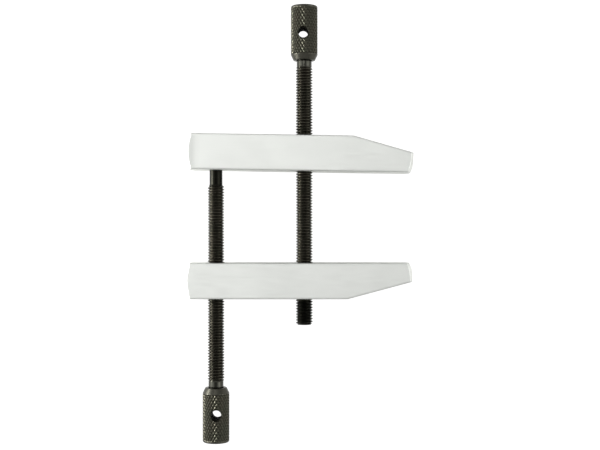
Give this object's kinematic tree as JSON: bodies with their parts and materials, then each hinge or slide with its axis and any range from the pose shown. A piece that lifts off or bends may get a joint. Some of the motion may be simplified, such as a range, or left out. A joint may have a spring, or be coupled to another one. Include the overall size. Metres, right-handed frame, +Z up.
{
  "type": "toolmaker's parallel clamp",
  "caption": "Toolmaker's parallel clamp: square bright steel jaws with tapered noses, opened and closed by long black-oxide screws with knurled heads cross-drilled for a tommy bar.",
  "frame": {"origin": "on the bench, under the centre of the clamp's bounding box, with the clamp lying on its side", "axes": "+X towards the noses of the jaws, +Y along the screws towards the middle screw's head, +Z up from the bench"},
  "size_m": [0.0806, 0.1556, 0.0127],
  "materials": {
    "ground_steel": "satin ground, bright",
    "black_oxide_thread": "rolled thread, black oxide, oiled",
    "black_oxide_knurl": "diamond knurled, black oxide, oiled"
  },
  "bodies": {
    "threaded_jaw": {"threaded_jaw": "ground_steel"},
    "free_jaw": {"free_jaw": "ground_steel"},
    "middle_screw": {"middle_spindle": "black_oxide_thread", "middle_head": "black_oxide_knurl"},
    "rear_screw": {"rear_spindle": "black_oxide_thread", "rear_head": "black_oxide_knurl"}
  },
  "joints": [
    {"name": "jaw_slide", "type": "slide", "parent": "threaded_jaw", "child": "free_jaw", "axis": [0, 1, 0], "range_m": [-0.0316, 0.0094]},
    {"name": "middle_screw_turn", "type": "hinge", "parent": "free_jaw", "child": "middle_screw", "pos_m": [0.00175, 0.0583, 0.00635], "axis": [0, 1, 0], "range_deg": [-11377, 3385]},
    {"name": "rear_screw_turn", "type": "hinge", "parent": "free_jaw", "child": "rear_screw", "pos_m": [-0.02975, -0.0583, 0.00635], "axis": [0, 1, 0], "range_deg": [-11377, 3385]}
  ],
  "couplings": [
    {"joint": "middle_screw_turn", "follows": "jaw_slide", "rad_per_m": 6283.2},
    {"joint": "rear_screw_turn", "follows": "jaw_slide", "rad_per_m": 6283.2}
  ]
}
